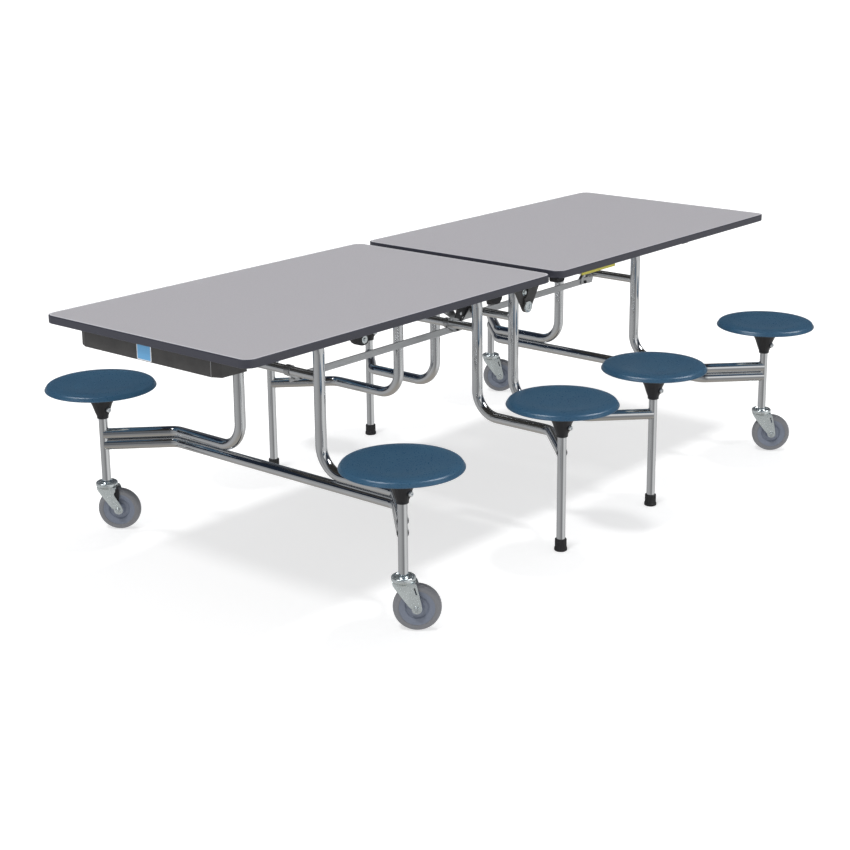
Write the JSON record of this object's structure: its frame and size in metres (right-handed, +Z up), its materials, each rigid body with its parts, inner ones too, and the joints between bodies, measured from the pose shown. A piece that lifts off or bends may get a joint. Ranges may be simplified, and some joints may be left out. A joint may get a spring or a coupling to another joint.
{
  "type": "folding table with attached swivel stools",
  "caption": "Mobile folding dining table: laminated half tops joined by a centre hinge, chromed tube frames on casters and feet, round swivel stools fixed to the frames.",
  "frame": {"origin": "centre of the table on the floor", "axes": "+X along the table's length, +Y across its width, +Z up"},
  "size_m": [2.4744, 1.462, 0.737],
  "materials": {
    "laminate": "grey high-pressure laminate on board, satin",
    "edge_rubber": "charcoal moulded edge, satin",
    "light_steel": "zinc-plated bar, satin",
    "black_steel": "black powder coat",
    "zinc": "bright zinc plate",
    "black_rubber": "matt",
    "blue_plastic": "satin",
    "yellow_plastic": "satin",
    "black_plastic": "satin",
    "wheel_grey": "grey non-marking tread on a blue-grey core",
    "seat_plastic": "satin blue, moulded",
    "chrome": "bright chrome plate on steel tube"
  },
  "bodies": {
    "frame_a": {"frame_a_cross_tube": "chrome", "frame_a_hub_screws": "zinc", "frame_a_lower_tube": "chrome", "frame_a_posts": "chrome", "frame_a_stool_hubs": "black_plastic", "frame_a_tube": "chrome"},
    "frame_b": {"frame_b_cross_tube": "chrome", "frame_b_feet": "black_rubber", "frame_b_hub_screws": "zinc", "frame_b_posts": "chrome", "frame_b_stool_hubs": "black_plastic", "frame_b_tube": "chrome"},
    "frame_c": {"frame_c_bracket": "black_steel", "frame_c_cross_tube": "chrome", "frame_c_feet": "black_rubber", "frame_c_hub_screws": "zinc", "frame_c_posts": "chrome", "frame_c_stool_hubs": "black_plastic", "frame_c_tube": "chrome"},
    "frame_d": {"frame_d_cross_tube": "chrome", "frame_d_hub_screws": "zinc", "frame_d_lower_tube": "chrome", "frame_d_posts": "chrome", "frame_d_stool_hubs": "black_plastic", "frame_d_tube": "chrome"},
    "top_left": {"top_panel_left": "laminate", "edge_band_left": "edge_rubber", "pivot_saddles_left": "light_steel", "hinge_plates_left": "black_steel", "hinge_bolts": "zinc", "bumpers_left": "black_rubber", "end_apron": "black_steel", "end_plate": "blue_plastic"},
    "top_right": {"top_panel_right": "laminate", "edge_band_right": "edge_rubber", "pivot_saddles_right": "light_steel", "hinge_plates_right": "black_steel", "bumpers_right": "black_rubber", "yellow_strip": "yellow_plastic"},
    "link_left": {"link_bar_left": "light_steel", "link_bolts_left": "black_steel"},
    "link_right": {"link_bar_right": "light_steel", "link_bolts_right": "black_steel"},
    "seat_a_near": {"seat_a_near": "seat_plastic"},
    "seat_a_far": {"seat_a_far": "seat_plastic"},
    "seat_b_near": {"seat_b_near": "seat_plastic"},
    "seat_b_far": {"seat_b_far": "seat_plastic"},
    "seat_c_near": {"seat_c_near": "seat_plastic"},
    "seat_c_far": {"seat_c_far": "seat_plastic"},
    "seat_d_near": {"seat_d_near": "seat_plastic"},
    "seat_d_far": {"seat_d_far": "seat_plastic"},
    "caster_a_near_fork": {"caster_a_near_fork": "zinc"},
    "caster_a_near_wheel": {"caster_a_near_wheel": "wheel_grey"},
    "caster_a_far_fork": {"caster_a_far_fork": "zinc"},
    "caster_a_far_wheel": {"caster_a_far_wheel": "wheel_grey"},
    "caster_d_near_fork": {"caster_d_near_fork": "zinc"},
    "caster_d_near_wheel": {"caster_d_near_wheel": "wheel_grey"},
    "caster_d_far_fork": {"caster_d_far_fork": "zinc"},
    "caster_d_far_wheel": {"caster_d_far_wheel": "wheel_grey"},
    "brake_lever": {"brake_lever": "black_plastic"}
  },
  "joints": [
    {"name": "fold", "type": "hinge", "parent": "frame_a", "child": "top_left", "pos_m": [-0.766, 0, 0.697], "axis": [0, -1, 0], "range_deg": [0, 80]},
    {"name": "centre_hinge", "type": "hinge", "parent": "top_left", "child": "top_right", "pos_m": [0, 0, 0.622], "axis": [0, -1, 0], "range_deg": [-160, 0]},
    {"name": "frame_b_pivot", "type": "hinge", "parent": "top_left", "child": "frame_b", "pos_m": [-0.089, 0, 0.697], "axis": [0, -1, 0], "range_deg": [-80, 0]},
    {"name": "frame_c_pivot", "type": "hinge", "parent": "top_right", "child": "frame_c", "pos_m": [0.089, 0, 0.697], "axis": [0, -1, 0], "range_deg": [0, 80]},
    {"name": "frame_d_pivot", "type": "hinge", "parent": "top_right", "child": "frame_d", "pos_m": [0.766, 0, 0.697], "axis": [0, -1, 0], "range_deg": [0, 80]},
    {"name": "link_left_pivot", "type": "hinge", "parent": "frame_a", "child": "link_left", "pos_m": [-0.766, 0, 0.555], "axis": [0, -1, 0], "range_deg": [0, 80]},
    {"name": "link_right_pivot", "type": "hinge", "parent": "frame_d", "child": "link_right", "pos_m": [0.766, 0, 0.555], "axis": [0, -1, 0], "range_deg": [-80, 0]},
    {"name": "seat_a_near_swivel", "type": "hinge", "parent": "frame_a", "child": "seat_a_near", "pos_m": [-0.9144, -0.5725, 0.43], "axis": [0, 0, 1], "continuous": true},
    {"name": "seat_a_far_swivel", "type": "hinge", "parent": "frame_a", "child": "seat_a_far", "pos_m": [-0.9144, 0.5725, 0.43], "axis": [0, 0, 1], "continuous": true},
    {"name": "seat_b_near_swivel", "type": "hinge", "parent": "frame_b", "child": "seat_b_near", "pos_m": [-0.235, -0.5725, 0.43], "axis": [0, 0, 1], "continuous": true},
    {"name": "seat_b_far_swivel", "type": "hinge", "parent": "frame_b", "child": "seat_b_far", "pos_m": [-0.235, 0.5725, 0.43], "axis": [0, 0, 1], "continuous": true},
    {"name": "seat_c_near_swivel", "type": "hinge", "parent": "frame_c", "child": "seat_c_near", "pos_m": [0.235, -0.5725, 0.43], "axis": [0, 0, 1], "continuous": true},
    {"name": "seat_c_far_swivel", "type": "hinge", "parent": "frame_c", "child": "seat_c_far", "pos_m": [0.235, 0.5725, 0.43], "axis": [0, 0, 1], "continuous": true},
    {"name": "seat_d_near_swivel", "type": "hinge", "parent": "frame_d", "child": "seat_d_near", "pos_m": [0.9144, -0.5725, 0.43], "axis": [0, 0, 1], "continuous": true},
    {"name": "seat_d_far_swivel", "type": "hinge", "parent": "frame_d", "child": "seat_d_far", "pos_m": [0.9144, 0.5725, 0.43], "axis": [0, 0, 1], "continuous": true},
    {"name": "caster_a_near_swivel", "type": "hinge", "parent": "frame_a", "child": "caster_a_near_fork", "pos_m": [-0.9144, -0.5725, 0.14], "axis": [0, 0, 1], "continuous": true},
    {"name": "caster_a_near_roll", "type": "hinge", "parent": "caster_a_near_fork", "child": "caster_a_near_wheel", "pos_m": [-0.89369, -0.59947, 0.062], "axis": [0.7931, 0.6091, 0], "continuous": true},
    {"name": "caster_a_far_swivel", "type": "hinge", "parent": "frame_a", "child": "caster_a_far_fork", "pos_m": [-0.9144, 0.5725, 0.14], "axis": [0, 0, 1], "continuous": true},
    {"name": "caster_a_far_roll", "type": "hinge", "parent": "caster_a_far_fork", "child": "caster_a_far_wheel", "pos_m": [-0.89369, 0.54553, 0.062], "axis": [0.7931, 0.6091, 0], "continuous": true},
    {"name": "caster_d_near_swivel", "type": "hinge", "parent": "frame_d", "child": "caster_d_near_fork", "pos_m": [0.9144, -0.5725, 0.14], "axis": [0, 0, 1], "continuous": true},
    {"name": "caster_d_near_roll", "type": "hinge", "parent": "caster_d_near_fork", "child": "caster_d_near_wheel", "pos_m": [0.93511, -0.59947, 0.062], "axis": [0.7931, 0.6091, 0], "continuous": true},
    {"name": "caster_d_far_swivel", "type": "hinge", "parent": "frame_d", "child": "caster_d_far_fork", "pos_m": [0.9144, 0.5725, 0.14], "axis": [0, 0, 1], "continuous": true},
    {"name": "caster_d_far_roll", "type": "hinge", "parent": "caster_d_far_fork", "child": "caster_d_far_wheel", "pos_m": [0.93511, 0.54553, 0.062], "axis": [0.7931, 0.6091, 0], "continuous": true},
    {"name": "brake_press", "type": "hinge", "parent": "caster_a_far_fork", "child": "brake_lever", "pos_m": [-0.90526, 0.5606, 0.109], "axis": [0.7931, 0.6091, 0], "range_deg": [0, 12]}
  ],
  "couplings": [
    {"joint": "centre_hinge", "follows": "fold", "ratio": -2},
    {"joint": "frame_b_pivot", "follows": "fold", "ratio": -1},
    {"joint": "frame_c_pivot", "follows": "fold", "ratio": 1},
    {"joint": "frame_d_pivot", "follows": "fold", "ratio": 1},
    {"joint": "link_left_pivot", "follows": "fold", "ratio": 1},
    {"joint": "link_right_pivot", "follows": "fold", "ratio": -1}
  ]
}
